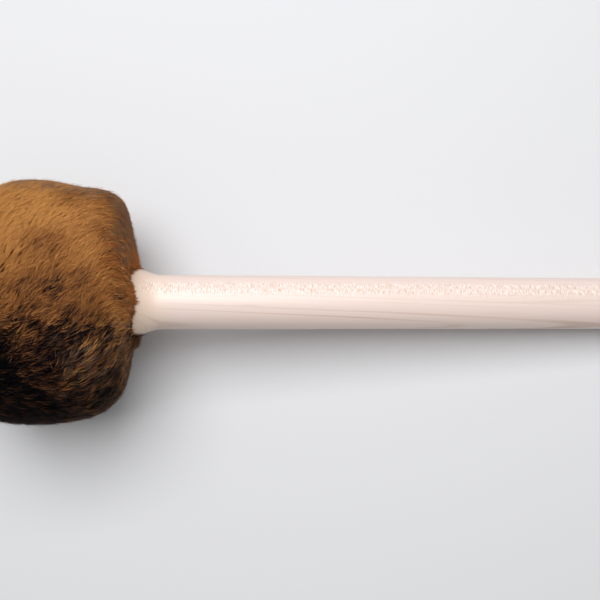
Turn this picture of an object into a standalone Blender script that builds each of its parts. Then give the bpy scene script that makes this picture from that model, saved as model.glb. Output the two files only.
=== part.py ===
"""Gong mallet, lying at rest: a turned maple handle with a weighted, padded head in a fur cover.

Every piece is modelled along the mallet's own axis, local Z, with Z = 0 at the middle of the head and +Z
towards the butt of the handle. The pieces are parented to the empty mallet_axis, which lays them down: the
head rests on a flat pressed into the fur, and the butt rests on its rounded edge.
"""

import math

import bmesh
import bpy

# Running gap between two pieces that touch
CLEARANCE = 0.0003

# Handle
SHAFT_RADIUS = 0.0125
GRIP_LENGTH = 0.294
BUTT_FILLET = 0.005
NECK_FLARE = 0.0024
COLLAR_FLARE = 0.0075
FLARE_ANGLE = math.radians(20)
FLARE_BLEND = 0.015
TENON_RADIUS = 0.009
TENON_SETBACK = 0.0015
TENON_FILLET = 0.0015

# Core and what is fixed to it
CORE_RADIUS = 0.030
CORE_LENGTH = 0.044
CORE_FILLET = 0.0015
WEIGHT_RADIUS = 0.022
WEIGHT_THICKNESS = 0.012
WASHER_RADIUS = 0.012
WASHER_THICKNESS = 0.0015
SCREW_RADIUS = 0.002
SCREW_LENGTH = 0.032
SCREW_TIP = 0.004
SCREW_HEAD_RADIUS = 0.0045
SCREW_HEAD_HEIGHT = 0.003
SCREW_HEAD_FILLET = 0.0012
SLOT_WIDTH = 0.0012
SLOT_DEPTH = 0.0014
PILOT_EXTRA = 0.001

# Padding
FELT_THICKNESS = 0.0022
FELT_TURNS = 4
FELT_END = 0.0003
TWINE_RADIUS = 0.0008
TWINE_PITCH = 0.0042
TWINE_TURNS = 8
FRONT_PAD_THICKNESS = 0.007
REAR_PAD_THICKNESS = 0.006
PAD_FILLET = 0.0015
WADDING_ROUND = 0.0064
WADDING_END = 0.0097

# Fur cover
COVER_THICKNESS = 0.005
CROWN_RADIUS = 0.095
SHOULDER_RADIUS = 0.020
END_RADIUS = 0.100
HEM_THICKNESS = 0.0017
SIDE_FULLNESS = 0.0012
REST_FLAT_DEPTH = 0.002
NECK_CORD_RADIUS = 0.0008
NECK_CORD_PITCH = 0.0022
NECK_CORD_TURNS = 2

# How finely round shapes are divided
HANDLE_SIDES = 40
PART_SIDES = 36
HEAD_SIDES = 32
FELT_STEPS_PER_TURN = 24
CORD_STEPS_PER_TURN = 24
ARC_STEP = math.radians(22.5)
END_STEPS = 3
SHOULDER_STEPS = 4
FUR_CROWN_STEPS = 6
LINING_CROWN_STEPS = 4
SMOOTH_BELOW = math.radians(30)

# Radii, from the core outwards
core_bore = TENON_RADIUS + CLEARANCE
pad_radius = CORE_RADIUS
collar_radius = SHAFT_RADIUS + COLLAR_FLARE
felt_inner = CORE_RADIUS + CLEARANCE
felt_pitch = FELT_THICKNESS + CLEARANCE
felt_outer = felt_inner + FELT_TURNS * felt_pitch + FELT_END
twine_centre = felt_outer + CLEARANCE + TWINE_RADIUS
wadding_bore = twine_centre + TWINE_RADIUS + CLEARANCE
wadding_radius = wadding_bore + WADDING_ROUND
head_radius = wadding_radius + CLEARANCE + COVER_THICKNESS
cord_room = 2 * NECK_CORD_RADIUS + 2 * CLEARANCE

# Places along the axis, from the middle of the head outwards
core_face = CORE_LENGTH / 2
face_seat = core_face + CLEARANCE
front_pad_face = face_seat + FRONT_PAD_THICKNESS
rear_pad_face = face_seat + REAR_PAD_THICKNESS
wadding_end = front_pad_face + CLEARANCE + WADDING_END
head_half_length = wadding_end + CLEARANCE + COVER_THICKNESS
end_centre = head_half_length - END_RADIUS
crown_centre = head_radius - CROWN_RADIUS
counterbore_floor = -core_face + WEIGHT_THICKNESS + CLEARANCE
tenon_end = counterbore_floor + TENON_SETBACK
washer_back = -core_face - CLEARANCE
washer_front = washer_back - WASHER_THICKNESS
screw_seat = washer_front - CLEARANCE
screw_end = screw_seat + SCREW_LENGTH


def shoulder_centre():
    """The middle (z, r) of the circle that touches both the crown's arc and the end's arc from inside."""
    crown_reach = CROWN_RADIUS - SHOULDER_RADIUS
    end_reach = END_RADIUS - SHOULDER_RADIUS
    span = math.hypot(end_centre, crown_centre)
    along = (end_reach**2 - crown_reach**2 + span**2) / (2 * span)
    aside = math.sqrt(end_reach**2 - along**2)
    unit_z = -end_centre / span
    unit_r = crown_centre / span
    return end_centre + along * unit_z - aside * unit_r, along * unit_r + aside * unit_z


shoulder_z, shoulder_r = shoulder_centre()
crown_stop = math.atan2(shoulder_z, shoulder_r - crown_centre)
shoulder_stop = math.atan2(shoulder_z - end_centre, shoulder_r)


def head_point(lean, inset):
    """The point (z, r) of the head's outline whose outward normal leans this far from square to the axis.

    The outline is three arcs, a crown, a shoulder and an end, so an inset outline is parallel to it.
    """
    side = math.copysign(1, lean)
    angle = abs(lean)
    if angle <= crown_stop:
        middle_z, middle_r, radius = 0, crown_centre, CROWN_RADIUS
    elif angle <= shoulder_stop:
        middle_z, middle_r, radius = shoulder_z, shoulder_r, SHOULDER_RADIUS
    else:
        middle_z, middle_r, radius = end_centre, 0, END_RADIUS
    reach = radius - inset
    return side * (middle_z + reach * math.sin(angle)), middle_r + reach * math.cos(angle)


def spread(start, end, steps):
    """Values from start to end in equal steps, both included."""
    return [start + (end - start) * step / steps for step in range(steps + 1)]


def head_leans(inset, rear_radius, crown_steps):
    """Leans from the front pole over the crown to where the rear end comes in to rear_radius."""
    rear_lean = math.acos(rear_radius / (END_RADIUS - inset))
    leans = spread(-math.pi / 2, -shoulder_stop, END_STEPS)
    leans += spread(-shoulder_stop, -crown_stop, SHOULDER_STEPS)[1:]
    leans += spread(-crown_stop, crown_stop, crown_steps)[1:]
    leans += spread(crown_stop, shoulder_stop, SHOULDER_STEPS)[1:]
    leans += spread(shoulder_stop, rear_lean, END_STEPS)[1:]
    return leans


def head_outline(leans, inset):
    """The head's outline (z, r) at these leans, with its front pole exactly on the axis."""
    points = [head_point(lean, inset) for lean in leans]
    points[0] = (points[0][0], 0)
    return points


neck_bore = SHAFT_RADIUS + NECK_FLARE + CLEARANCE
hem_radius = neck_bore + HEM_THICKNESS
neck_z = end_centre + math.sqrt(END_RADIUS**2 - hem_radius**2)
butt_z = neck_z + GRIP_LENGTH
flare_start = neck_z + NECK_FLARE / math.tan(FLARE_ANGLE)
flare_end = neck_z - (COLLAR_FLARE - NECK_FLARE) / math.tan(FLARE_ANGLE)


def flare_radius(z):
    """The radius of the wood at a place on the flare."""
    rise = (flare_start - z) * math.tan(FLARE_ANGLE)
    return SHAFT_RADIUS + min(max(rise, 0), COLLAR_FLARE)


def rest_tilt():
    """How far the butt hangs below level when the head's flat and the butt's edge lie on one plane.

    The crown's lowest point is CROWN_RADIUS + crown_centre * cos(tilt) below the head's middle, and the
    butt's is (butt_z - BUTT_FILLET) * sin(tilt) + (SHAFT_RADIUS - BUTT_FILLET) * cos(tilt) + BUTT_FILLET.
    """
    along = butt_z - BUTT_FILLET
    across = SHAFT_RADIUS - BUTT_FILLET - crown_centre
    drop = CROWN_RADIUS - REST_FLAT_DEPTH - BUTT_FILLET
    return math.asin(drop / math.hypot(along, across)) - math.atan2(across, along)


tilt = rest_tilt()
head_height = CROWN_RADIUS + crown_centre * math.cos(tilt) - REST_FLAT_DEPTH
front_reach = END_RADIUS + end_centre * math.cos(tilt)
butt_reach = (butt_z - BUTT_FILLET) * math.cos(tilt) + BUTT_FILLET
butt_reach += (SHAFT_RADIUS - BUTT_FILLET) * math.sin(tilt)
head_x = (front_reach - butt_reach) / 2


def clear_scene():
    """Removes every object, so that the part starts from nothing."""
    for obj in list(bpy.data.objects):
        bpy.data.objects.remove(obj, do_unlink=True)


def finish(name, colour, roughness, metallic=0.0):
    """A material of one colour for one piece."""
    material = bpy.data.materials.new(name)
    material.use_nodes = True
    shader = material.node_tree.nodes["Principled BSDF"]
    shader.inputs["Base Color"].default_value = (*colour, 1)
    shader.inputs["Roughness"].default_value = roughness
    shader.inputs["Metallic"].default_value = metallic
    return material


def place(obj, material):
    """Links a piece under the mallet's axis and gives it its material."""
    bpy.context.scene.collection.objects.link(obj)
    obj.parent = mallet_axis
    obj.data.materials.append(material)
    return obj


def rounded(corners):
    """An outline (z, r) through corners (z, r, fillet), each fillet an arc that its two sides can hold."""
    points = [corners[0][:2]]
    for before, corner, after in zip(corners, corners[1:], corners[2:]):
        back = (before[0] - corner[0], before[1] - corner[1])
        on = (after[0] - corner[0], after[1] - corner[1])
        back_length = math.hypot(*back)
        on_length = math.hypot(*on)
        back_angle = math.atan2(back[1], back[0])
        turn = (math.atan2(on[1], on[0]) - back_angle) % (2 * math.pi)
        half = min(turn, 2 * math.pi - turn) / 2
        cut = min(corner[2] / math.tan(half), back_length / 2, on_length / 2)
        if corner[2] == 0:
            points.append(corner[:2])
            continue
        radius = cut * math.tan(half)
        middle_angle = back_angle + (half if turn < math.pi else -half)
        middle_reach = radius / math.sin(half)
        middle_z = corner[0] + middle_reach * math.cos(middle_angle)
        middle_r = corner[1] + middle_reach * math.sin(middle_angle)
        start_z = corner[0] + back[0] / back_length * cut
        start_r = corner[1] + back[1] / back_length * cut
        start_angle = math.atan2(start_r - middle_r, start_z - middle_z)
        sweep = math.pi - 2 * half
        sweep = sweep if turn > math.pi else -sweep
        steps = max(2, math.ceil(abs(sweep) / ARC_STEP))
        for angle in spread(start_angle, start_angle + sweep, steps):
            points.append((middle_z + radius * math.cos(angle), middle_r + radius * math.sin(angle)))
    points.append(corners[-1][:2])
    return points


def smooth_data(name, mesh):
    """Mesh data from a bmesh, with faces outwards and smooth up to the angle of a real edge."""
    bmesh.ops.recalc_face_normals(mesh, faces=mesh.faces)
    data = bpy.data.meshes.new(name)
    mesh.to_mesh(data)
    mesh.free()
    data.shade_smooth()
    data.set_sharp_from_angle(angle=SMOOTH_BELOW)
    return data


def box_cutter(name, size):
    """A box that only cuts, with its middle at its origin."""
    mesh = bmesh.new()
    bmesh.ops.create_cube(mesh, size=1)
    bmesh.ops.scale(mesh, vec=size, verts=mesh.verts)
    data = bpy.data.meshes.new(name)
    mesh.to_mesh(data)
    mesh.free()
    cutter = bpy.data.objects.new(name, data)
    bpy.context.scene.collection.objects.link(cutter)
    cutter.hide_render = True
    cutter.display_type = "WIRE"
    return cutter


def turned(name, outline, material, sides=PART_SIDES, ring=False, swells=None):
    """A round piece: the outline (z, r) carried round the axis. A ring's outline closes on itself.

    swells gives each outline point the lean at which it takes the head's side fullness.
    """
    mesh = bmesh.new()
    loops = []
    for index, (z, r) in enumerate(outline):
        if r == 0:
            loops.append([mesh.verts.new((0, 0, z))] * sides)
            continue
        loop = []
        for side in range(sides):
            angle = 2 * math.pi * side / sides
            reach = r + (side_fullness(swells[index], angle) if swells else 0)
            loop.append(mesh.verts.new((reach * math.cos(angle), reach * math.sin(angle), z)))
        loops.append(loop)
    if ring:
        loops.append(loops[0])
    for low, high in zip(loops, loops[1:]):
        for side in range(sides):
            after = (side + 1) % sides
            corners = dict.fromkeys([low[side], low[after], high[after], high[side]])
            mesh.faces.new(list(corners))
    return place(bpy.data.objects.new(name, smooth_data(name, mesh)), material)


def washer_outline(inner, outer, back, front, fillet=0.0):
    """The closed outline of a flat ring, with rounded outer edges."""
    corners = [(back, inner, 0), (back, outer, fillet), (front, outer, fillet), (front, inner, 0)]
    return rounded(corners)


def wound(name, points, radius, material):
    """One unbroken cord through points, with closed ends."""
    curve = bpy.data.curves.new(name, "CURVE")
    curve.dimensions = "3D"
    curve.bevel_depth = radius
    curve.bevel_resolution = 1
    curve.use_fill_caps = True
    spline = curve.splines.new("POLY")
    spline.points.add(len(points) - 1)
    for point, spot in zip(spline.points, points):
        point.co = (*spot, 1)
    return place(bpy.data.objects.new(name, curve), material)


def winding(turns, pitch, first_z, centre_radius):
    """Points of a cord wound round the axis, its middle at centre_radius(z), one pitch on in each turn."""
    points = []
    for step in range(turns * CORD_STEPS_PER_TURN + 1):
        turn = step / CORD_STEPS_PER_TURN
        z = first_z + pitch * turn
        angle = 2 * math.pi * turn
        points.append((centre_radius(z) * math.cos(angle), centre_radius(z) * math.sin(angle), z))
    return points


def print_least_gap(name, points, radius):
    """Prints the smallest gap between one turn of a cord and the next."""
    gaps = []
    for index, point in enumerate(points):
        for other in points[index + CORD_STEPS_PER_TURN // 2 :]:
            gaps.append(math.dist(point, other) - 2 * radius)
    print(f"{name}: least gap between turns {min(gaps) * 1000:.2f} mm")


def build_handle():
    """Shaft, flare, collar and tenon in one piece, with a pilot hole for the screw in the tenon's end."""
    pilot_floor = screw_end + PILOT_EXTRA
    pilot_radius = SCREW_RADIUS + CLEARANCE
    corners = [
        (pilot_floor, 0, 0),
        (pilot_floor, pilot_radius, 0),
        (tenon_end, pilot_radius, 0),
        (tenon_end, TENON_RADIUS, TENON_FILLET),
        (face_seat, TENON_RADIUS, 0),
        (face_seat, collar_radius, 0),
        (flare_end, collar_radius, FLARE_BLEND),
        (flare_start, SHAFT_RADIUS, FLARE_BLEND),
        (butt_z, SHAFT_RADIUS, BUTT_FILLET),
        (butt_z, 0, 0),
    ]
    maple = finish("maple", (0.80, 0.66, 0.52), 0.45)
    return turned("handle", rounded(corners), maple, HANDLE_SIDES)


def build_core():
    """A block with a bore for the tenon and a counterbore in front for the weight."""
    counterbore = WEIGHT_RADIUS + CLEARANCE
    corners = [
        (core_face, core_bore, 0),
        (core_face, CORE_RADIUS, CORE_FILLET),
        (-core_face, CORE_RADIUS, CORE_FILLET),
        (-core_face, counterbore, 0),
        (counterbore_floor, counterbore, 0),
        (counterbore_floor, core_bore, 0),
    ]
    return turned("core", rounded(corners), finish("beech", (0.55, 0.36, 0.22), 0.6), ring=True)


def build_weight_disc():
    bore = SCREW_RADIUS + CLEARANCE
    outline = washer_outline(bore, WEIGHT_RADIUS, -core_face + WEIGHT_THICKNESS, -core_face)
    return turned("weight_disc", outline, finish("weight_steel", (0.42, 0.42, 0.43), 0.4, 1.0), ring=True)


def build_end_washer():
    outline = washer_outline(SCREW_RADIUS + CLEARANCE, WASHER_RADIUS, washer_back, washer_front)
    return turned("end_washer", outline, finish("zinc", (0.62, 0.63, 0.65), 0.35, 1.0), ring=True)


def build_end_screw():
    """A slotted round-head wood screw, its thread left plain."""
    head_top = screw_seat - SCREW_HEAD_HEIGHT
    corners = [
        (head_top, 0, 0),
        (head_top, SCREW_HEAD_RADIUS, SCREW_HEAD_FILLET),
        (screw_seat, SCREW_HEAD_RADIUS, 0),
        (screw_seat, SCREW_RADIUS, 0),
        (screw_end - SCREW_TIP, SCREW_RADIUS, 0),
        (screw_end, 0, 0),
    ]
    screw = turned("end_screw", rounded(corners), finish("screw_steel", (0.5, 0.48, 0.44), 0.35, 1.0))
    cutter = box_cutter("slot_cutter", (4 * SCREW_HEAD_RADIUS, SLOT_WIDTH, 2 * SLOT_DEPTH))
    cutter.parent = mallet_axis
    cutter.location = (0, 0, head_top)
    cut = screw.modifiers.new("slot", "BOOLEAN")
    cut.object = cutter
    return screw


def build_felt_wrap():
    """One strip of felt rolled round the core. Its last turn is skived from full thickness to a thin end."""
    steps = FELT_TURNS * FELT_STEPS_PER_TURN
    mesh = bmesh.new()
    sections = []
    for step in range(steps + 1):
        turn = step / FELT_STEPS_PER_TURN
        skived = max(turn - (FELT_TURNS - 1), 0)
        inner = felt_inner + felt_pitch * turn
        outer = inner + FELT_THICKNESS + (FELT_END - FELT_THICKNESS) * skived
        across = math.cos(2 * math.pi * turn)
        up = math.sin(2 * math.pi * turn)
        corners = [(inner, -core_face), (outer, -core_face), (outer, core_face), (inner, core_face)]
        sections.append([mesh.verts.new((r * across, r * up, z)) for r, z in corners])
    for here, there in zip(sections, sections[1:]):
        for side in range(4):
            after = (side + 1) % 4
            mesh.faces.new((here[side], here[after], there[after], there[side]))
    mesh.faces.new(sections[0])
    mesh.faces.new(sections[-1][::-1])
    felt = finish("grey_felt", (0.42, 0.41, 0.40), 0.95)
    return place(bpy.data.objects.new("felt_wrap", smooth_data("felt_wrap", mesh)), felt)


def build_binding_twine():
    first_z = -TWINE_PITCH * TWINE_TURNS / 2
    points = winding(TWINE_TURNS, TWINE_PITCH, first_z, lambda z: twine_centre)
    print_least_gap("binding_twine", points, TWINE_RADIUS)
    return wound("binding_twine", points, TWINE_RADIUS, finish("twine", (0.62, 0.54, 0.40), 0.9))


def build_pads():
    """Two felt rings: one over the screw and washer, one round the collar of the handle."""
    front_hole = WASHER_RADIUS + CLEARANCE
    rear_hole = collar_radius + CLEARANCE
    front = washer_outline(front_hole, pad_radius, -face_seat, -front_pad_face, PAD_FILLET)
    rear = washer_outline(rear_hole, pad_radius, face_seat, rear_pad_face, PAD_FILLET)
    turned("front_pad", front, finish("front_felt", (0.74, 0.70, 0.62), 0.95), ring=True)
    turned("rear_pad", rear, finish("rear_felt", (0.70, 0.66, 0.58), 0.95), ring=True)


def side_fullness(lean, angle):
    """How far the head stands out past round on the +Y side of its rear shoulder, and in on the -Y side."""
    along = math.sin(2 * lean) ** 2 if lean > 0 else 0
    return SIDE_FULLNESS * along * math.sin(angle)


def build_wadding():
    """A cup of fleece that fills the head out round the felt, open at the back round the collar."""
    inset = COVER_THICKNESS + CLEARANCE
    hole = collar_radius + cord_room
    pad_pocket = pad_radius + CLEARANCE
    front_floor = -front_pad_face - CLEARANCE
    rear_floor = rear_pad_face + CLEARANCE
    leans = head_leans(inset, hole, LINING_CROWN_STEPS)
    pocket = [
        (rear_floor, hole),
        (rear_floor, pad_pocket),
        (face_seat, pad_pocket),
        (face_seat, wadding_bore),
        (-face_seat, wadding_bore),
        (-face_seat, pad_pocket),
        (front_floor, pad_pocket),
        (front_floor, 0),
    ]
    swells = leans + [0] * len(pocket)
    fleece = finish("fleece", (0.83, 0.80, 0.72), 0.95)
    return turned("wadding", head_outline(leans, inset) + pocket, fleece, HEAD_SIDES, swells=swells)


def build_fur_cover():
    """A bag of fur with a hole for the flare at the back, and a flat where it rests on the ground."""
    fur_leans = head_leans(0, hem_radius, FUR_CROWN_STEPS)
    lining_leans = head_leans(COVER_THICKNESS, collar_radius + CLEARANCE, LINING_CROWN_STEPS)
    lining = head_outline(lining_leans, COVER_THICKNESS)
    lining_end = lining[-1][0]
    hem = [(neck_z, neck_bore), (lining_end, flare_radius(lining_end) + CLEARANCE)]
    outline = head_outline(fur_leans, 0) + hem + lining[::-1]
    swells = fur_leans + [0, 0] + lining_leans[::-1]
    fur = finish("brown_fur", (0.28, 0.15, 0.07), 0.9)
    cover = turned("fur_cover", outline, fur, HEAD_SIDES, swells=swells)
    ground = box_cutter("ground_cutter", (4 * head_radius, 4 * head_radius, 2 * head_radius))
    ground.location = (head_x, 0, -head_radius)
    press = cover.modifiers.new("rest_flat", "BOOLEAN")
    press.object = ground
    return cover


def build_neck_cord():
    """A cord wound on the flare just inside the hem."""
    slant = math.cos(FLARE_ANGLE)
    length = NECK_CORD_PITCH * NECK_CORD_TURNS
    lining_radius = END_RADIUS - COVER_THICKNESS
    lining_end = end_centre + math.sqrt(lining_radius**2 - (collar_radius + cord_room) ** 2)
    first_z = lining_end - CLEARANCE - NECK_CORD_RADIUS - length
    stand_off = (NECK_CORD_RADIUS + CLEARANCE) / slant
    points = winding(NECK_CORD_TURNS, NECK_CORD_PITCH, first_z, lambda z: flare_radius(z) + stand_off)
    print_least_gap("neck_cord", points, NECK_CORD_RADIUS)
    return wound("neck_cord", points, NECK_CORD_RADIUS, finish("hem_cord", (0.25, 0.18, 0.12), 0.9))


clear_scene()
mallet_axis = bpy.data.objects.new("mallet_axis", None)
bpy.context.scene.collection.objects.link(mallet_axis)
mallet_axis.location = (head_x, 0, head_height)
mallet_axis.rotation_euler = (0, math.pi / 2 + tilt, 0)

build_handle()
build_core()
build_weight_disc()
build_end_washer()
build_end_screw()
build_felt_wrap()
build_binding_twine()
build_pads()
build_wadding()
build_fur_cover()
build_neck_cord()
print(f"head {2000 * head_radius:.1f} mm across and {2000 * head_half_length:.1f} mm long")
print(f"tilt {math.degrees(tilt):.2f} degrees")
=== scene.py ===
# %% [markdown]
# # A gong mallet, lying at rest
# A gong mallet is a short, heavy beater. A turned maple handle widens into a head: a wooden core with a
# steel weight, felt wound round it, soft fleece, and a cover of brown fur drawn in round the handle. The
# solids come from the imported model, which stays as it is. This lesson builds what the eye sees around them:
# the mallet's axes, the maple, the padding, and the fur, lock by lock.

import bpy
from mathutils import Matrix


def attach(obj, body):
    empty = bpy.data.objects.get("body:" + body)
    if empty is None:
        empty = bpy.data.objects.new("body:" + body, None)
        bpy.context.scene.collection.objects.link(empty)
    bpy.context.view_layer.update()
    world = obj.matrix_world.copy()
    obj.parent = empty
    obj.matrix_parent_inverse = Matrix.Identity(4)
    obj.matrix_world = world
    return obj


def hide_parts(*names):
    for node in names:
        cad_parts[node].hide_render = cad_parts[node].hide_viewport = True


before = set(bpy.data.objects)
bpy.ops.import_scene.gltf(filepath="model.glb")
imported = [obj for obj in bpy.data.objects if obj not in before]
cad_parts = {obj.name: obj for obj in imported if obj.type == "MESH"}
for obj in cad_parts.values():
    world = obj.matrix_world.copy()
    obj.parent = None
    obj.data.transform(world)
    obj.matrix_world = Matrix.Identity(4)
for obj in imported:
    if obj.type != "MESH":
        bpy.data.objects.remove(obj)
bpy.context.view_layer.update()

# %% What the lesson uses
import math

import bpy
import numpy as np
from mathutils import Euler, Vector

print("CAD nodes:", ", ".join(sorted(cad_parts)))

# %% [markdown]
# ## The mallet's own axes
# The head rests on its fur and the butt on one edge, so the axis slopes down towards the butt. Nearly every
# piece is round about that axis, so a place is described by z along it, r out from it and phi round it, with
# phi = 0 on top and 90 degrees at the side that faces +Y, and only at the very end is it turned into a place
# in the scene.

# %% Axes
HEAD_MIDDLE = np.array((-0.145300913, 0.0, 0.052800016))
TILT = 0.121794690
ALONG = np.array((math.cos(TILT), 0.0, -math.sin(TILT)))
ASIDE = np.array((0.0, 1.0, 0.0))
ABOVE = np.array((math.sin(TILT), 0.0, math.cos(TILT)))


def on_mallet(z, r, phi):
    """Places in the scene: the head's middle, plus z along the axis, plus r in the direction phi round it."""
    z, r, phi = np.broadcast_arrays(z, r, phi)
    return (
        HEAD_MIDDLE
        + z[..., None] * ALONG
        + (r * np.cos(phi))[..., None] * ABOVE
        + (r * np.sin(phi))[..., None] * ASIDE
    )


def off_mallet(points):
    """The same turned round: z, r and phi of places in the scene."""
    arm = points - HEAD_MIDDLE
    high, side = arm @ ABOVE, arm @ ASIDE
    return arm @ ALONG, np.hypot(high, side), np.arctan2(side, high)


print("the axis slopes down by", round(math.degrees(TILT), 2), "degrees")

# %% [markdown]
# ## From arrays to pieces
# A mesh is a list of places and a list of faces. Both are worked out as whole numpy arrays, and foreach_set
# hands them to Blender in one go, far quicker than a loop over vertices. The signed volume says whether the
# faces look out: it adds up the small pyramids between each face and the origin, and is negative for a shape
# that is inside out.


# %% Making a piece
def in_scene(name, data):
    """A new object that shows the data, linked into the scene."""
    made = bpy.data.objects.new(name, data)
    bpy.context.scene.collection.objects.link(made)
    return made


def signed_volume(points, quads):
    """A sixth of the sum over triangles of first . (second x third), which is positive if faces look out."""
    first, second, third, fourth = (points[quads[:, side]] for side in range(4))
    volume = np.einsum("ij,ij->", first, np.cross(second, third))
    return (volume + np.einsum("ij,ij->", first, np.cross(third, fourth))) / 6


def new_piece(name, points, quads, material, slot, *nodes, chart=None, sharp=None):
    """A mesh object of points (n, 3) and quads (m, 4) that stands for the CAD nodes named.

    A quad that names one point twice in a row becomes a triangle. chart (m, 4, 2) holds each corner's place
    on the piece's UV map, and sharp is the angle in degrees from which an edge between faces stays an edge.
    """
    if signed_volume(points, quads) < 0:
        quads = quads[:, ::-1]
        chart = None if chart is None else chart[:, ::-1]
    kept = quads != np.roll(quads, -1, axis=1)
    used, corners = np.unique(quads[kept], return_inverse=True)
    sizes = kept.sum(axis=1)
    data = bpy.data.meshes.new(name)
    data.vertices.add(len(used))
    data.vertices.foreach_set("co", points[used].astype(np.float32).ravel())
    data.loops.add(len(corners))
    data.loops.foreach_set("vertex_index", corners.astype(np.int32).ravel())
    data.polygons.add(len(sizes))
    data.polygons.foreach_set("loop_start", (np.cumsum(sizes) - sizes).astype(np.int32))
    if chart is not None:
        data.uv_layers.new(name="OFBake").uv.foreach_set("vector", chart[kept].astype(np.float32).ravel())
    data.update(calc_edges=True)
    data.shade_smooth()
    if sharp is not None:
        data.set_sharp_from_angle(angle=math.radians(sharp))
    data.materials.append(material)
    piece = in_scene(name, data)
    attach(piece, "root")
    if nodes:
        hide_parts(*nodes)
    print(f"{name}: {(sizes - 2).sum()} triangles")
    return piece


# %% [markdown]
# ## Turned shapes
# A lathe gives one outline all the way round, and so does this: the outline (z, r) is carried round the axis
# in equal steps. Real corners are never knife-sharp, so an outline is written as plain corners with a radius
# each, and an arc takes the corner's place.


# %% Outlines and turning
def rounded(corners, steps=6):
    """An outline (z, r) through corners (z, r, radius).

    An arc touches both sides at radius / tan(half the corner's angle) from the corner. Its middle lies on the
    line that halves the corner, at radius / sin(half the angle).
    """
    spots = np.array(corners, float)
    parts = [spots[:1, :2]]
    for before, (z, r, radius), after in zip(spots[:-2, :2], spots[1:-1], spots[2:, :2]):
        corner = np.array((z, r))
        if radius == 0:
            parts.append(corner[None])
            continue
        back, on = before - corner, after - corner
        back, on = back / np.linalg.norm(back), on / np.linalg.norm(on)
        half = math.acos(back @ on) / 2
        middle = corner + (back + on) / np.linalg.norm(back + on) * radius / math.sin(half)
        first = corner + back * radius / math.tan(half) - middle
        last = corner + on * radius / math.tan(half) - middle
        sweep = math.pi - 2 * half
        share = np.linspace(0, 1, steps + 1)[:, None]
        arc = np.sin((1 - share) * sweep) * first + np.sin(share * sweep) * last
        parts.append(middle + arc / math.sin(sweep))
    return np.vstack([*parts, spots[-1:, :2]])


def steps_round(count):
    """The angles of equal steps once round."""
    return np.arange(count) * 2 * math.pi / count


def side_quads(index):
    """Quads between each row of an index grid (rows, sides) and the next one, closed round the sides."""
    low, high = index[:-1], index[1:]
    return np.stack((low, np.roll(low, -1, 1), np.roll(high, -1, 1), high), axis=-1).reshape(-1, 4)


def around(grid):
    """Points and quads of a grid of rings (rows, sides, 3).

    A row of equal points is a pole, and a last row that is equal to the first closes the grid into a ring.
    """
    rows, sides = grid.shape[:2]
    index = np.arange(rows * sides).reshape(rows, sides)
    pole = np.ptp(grid, axis=1).max(axis=-1) < 1e-8
    index[pole] = index[pole][:, :1]
    if np.allclose(grid[0], grid[-1]):
        index[-1] = index[0]
    return grid.reshape(-1, 3), side_quads(index)


def turned(outline, sides):
    """Points and quads of an outline (z, r) carried round the axis in equal steps."""
    return around(on_mallet(outline[:, :1], outline[:, 1:], steps_round(sides)))


# %% [markdown]
# ## Building materials from nodes
# Each finish is a small tree of shader nodes, and a few helpers keep the trees short to write. Colours are
# written as a screen shows them, from 0 to 255, and turned into the linear numbers that a renderer counts
# with.


# %% Node helpers
def paint(red, green, blue):
    """A screen colour as linear numbers: ((c + 0.055) / 1.055) ** 2.4 for each channel from 0 to 1."""
    return tuple(((c / 255 + 0.055) / 1.055) ** 2.4 for c in (red, green, blue)) + (1.0,)


def add_node(tree, kind, inputs=None, **settings):
    """Adds a shader node. inputs gives its sockets, by name or number, a value or another node's socket."""
    made = tree.nodes.new("ShaderNode" + kind)
    for name, value in settings.items():
        setattr(made, name, value)
    for name, value in (inputs or {}).items():
        if isinstance(value, bpy.types.NodeSocket):
            tree.links.new(value, made.inputs[name])
        else:
            made.inputs[name].default_value = value
    return made


def sum_of(tree, operation, *values):
    """One Math node, such as MULTIPLY or POWER."""
    return add_node(tree, "Math", dict(enumerate(values)), operation=operation).outputs[0]


def times(tree, first, second):
    """The product of two values."""
    return sum_of(tree, "MULTIPLY", first, second)


def axes_of(tree, vector):
    """The three parts of a vector."""
    return add_node(tree, "SeparateXYZ", {0: vector}).outputs


def axis_distance(tree, axes):
    """How far the place with these three parts lies from the Z axis."""
    flat_place = add_node(tree, "CombineXYZ", {0: axes[0], 1: axes[1]}).outputs[0]
    return add_node(tree, "VectorMath", {0: flat_place}, operation="LENGTH").outputs["Value"]


def stepped(tree, value, low, high, start=0.0, end=1.0):
    """Rises smoothly from start to end as value goes from low to high."""
    inputs = {"Value": value, "From Min": low, "From Max": high, "To Min": start, "To Max": end}
    return add_node(tree, "MapRange", inputs, interpolation_type="SMOOTHSTEP").outputs[0]


def mixed(tree, share, first, second, way="MIX"):
    """Two colours mixed by share."""
    inputs = {0: share, 6: first, 7: second}
    return add_node(tree, "Mix", inputs, data_type="RGBA", blend_type=way).outputs[2]


def noise(tree, place, stretch, detail=2.0):
    """Noise whose grain is 1 / stretch metres along each axis of place."""
    scaled = add_node(tree, "VectorMath", {0: place, 1: stretch}, operation="MULTIPLY")
    inputs = {"Vector": scaled.outputs[0], "Scale": 1.0, "Detail": detail}
    return add_node(tree, "TexNoise", inputs).outputs["Fac"]


# %% Groups
def new_group(name, inputs, outputs):
    """A node group with named sockets, its input and output nodes ready."""
    group = bpy.data.node_groups.new(name, "ShaderNodeTree")
    for socket, kind in inputs.items():
        group.interface.new_socket(name=socket, in_out="INPUT", socket_type="NodeSocket" + kind)
    for socket, kind in outputs.items():
        group.interface.new_socket(name=socket, in_out="OUTPUT", socket_type="NodeSocket" + kind)
    return group, group.nodes.new("NodeGroupInput").outputs, group.nodes.new("NodeGroupOutput")


def give(result, **values):
    """Links what a group works out to its output sockets."""
    for socket, value in values.items():
        result.id_data.links.new(value, result.inputs[socket])


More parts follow.
